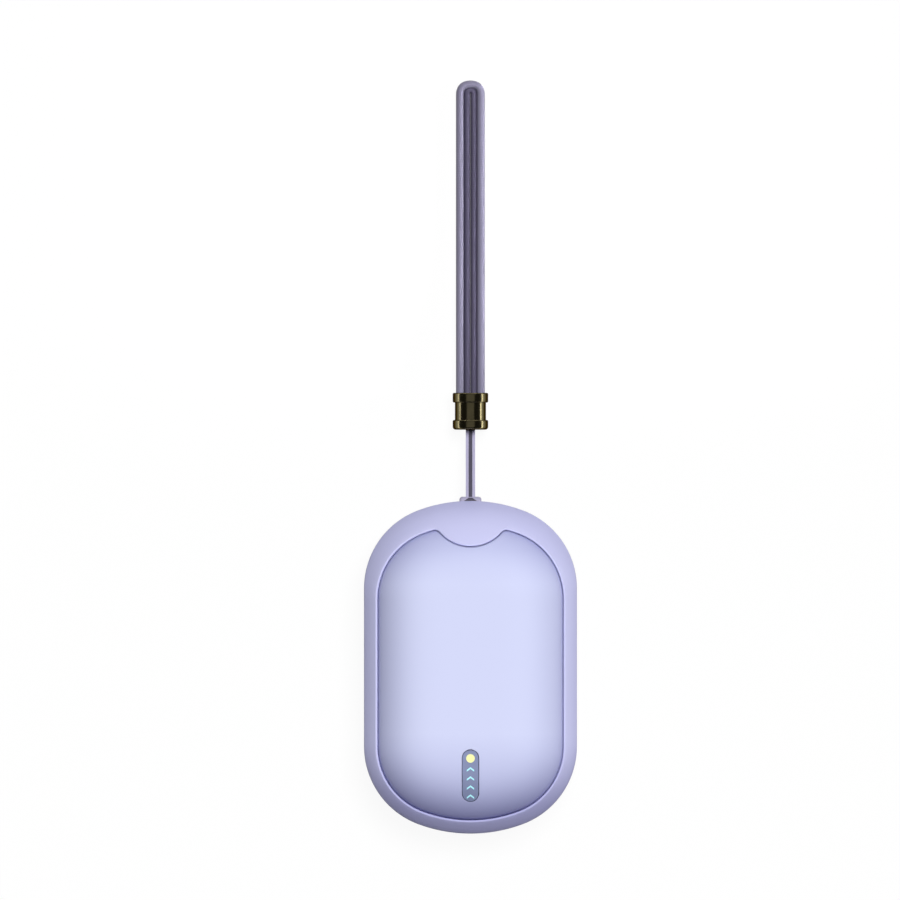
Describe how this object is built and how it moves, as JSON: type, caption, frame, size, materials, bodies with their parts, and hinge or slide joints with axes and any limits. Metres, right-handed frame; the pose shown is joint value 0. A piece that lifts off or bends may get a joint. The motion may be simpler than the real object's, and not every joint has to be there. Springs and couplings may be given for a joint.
{
  "type": "rechargeable hand warmer",
  "caption": "Pocket hand warmer with a domed front panel, a lit pill-shaped key, a charging socket in its lower end and a wrist strap on a hinged link.",
  "frame": {"origin": "on the surface it lies on, under the middle of the body, the strap left out", "axes": "+Z out of the front panel, +Y along the body towards the strap, +X across the body"},
  "size_m": [0.064, 0.2265, 0.0277],
  "materials": {
    "lavender_shell": "fine satin",
    "lavender_panel": "satin",
    "smoked_lens": "smoked, translucent",
    "yellow_mark": "lit inlay",
    "cyan_mark": "lit inlay",
    "clear_stem": "natural",
    "aluminium": "mill finish",
    "heater_film": "polyimide film",
    "thermistor_glass": "epoxy bead",
    "pouch": "laminate",
    "nickel": "nickel strip",
    "board_green": "solder mask",
    "foam": "closed-cell foam",
    "steel": "plain",
    "black_plastic": "moulded",
    "led_body": "white package",
    "pale_link": "soft moulding",
    "dark_link": "soft moulding",
    "antique_brass": "aged",
    "strap_cord": "woven round cord",
    "strap_dark": "woven tape",
    "lead_cover": "insulated lead"
  },
  "bodies": {
    "housing": {"back_shell": "lavender_shell", "front_frame": "lavender_shell", "front_panel": "lavender_panel", "tact_switch": "steel", "heat_spreader": "aluminium", "front_heater_film": "heater_film", "thermistor": "thermistor_glass", "back_heat_plate": "aluminium", "back_heater_film": "heater_film", "battery_cell": "pouch", "battery_tabs": "nickel", "battery_protection_board": "board_green", "battery_pad": "foam", "case_screws": "steel", "board_screws": "steel", "main_board": "board_green", "indicator_leds": "led_body", "board_power_parts": "black_plastic", "socket_shell": "steel", "socket_tongue": "black_plastic", "anchor_pin": "steel", "battery_leads": "lead_cover", "front_heater_leads": "lead_cover", "back_heater_leads": "lead_cover"},
    "key": {"key_lens": "smoked_lens", "indicator_dot": "yellow_mark", "indicator_chevrons": "cyan_mark", "key_stem": "clear_stem", "switch_plunger": "black_plastic"},
    "strap": {"strap_link": "pale_link", "link_core": "dark_link", "ferrule": "antique_brass", "ferrule_plug": "black_plastic", "wrist_strap": "strap_cord", "strap_lining": "strap_dark"}
  },
  "joints": [
    {"name": "key_press", "type": "slide", "parent": "housing", "child": "key", "axis": [0, 0, -1], "range_m": [0, 0.0004], "stiffness_N_per_m": 4000},
    {"name": "strap_swing", "type": "hinge", "parent": "housing", "child": "strap", "pos_m": [0, 0.04867, 0.0081], "axis": [1, 0, 0], "range_deg": [0, 53]}
  ]
}
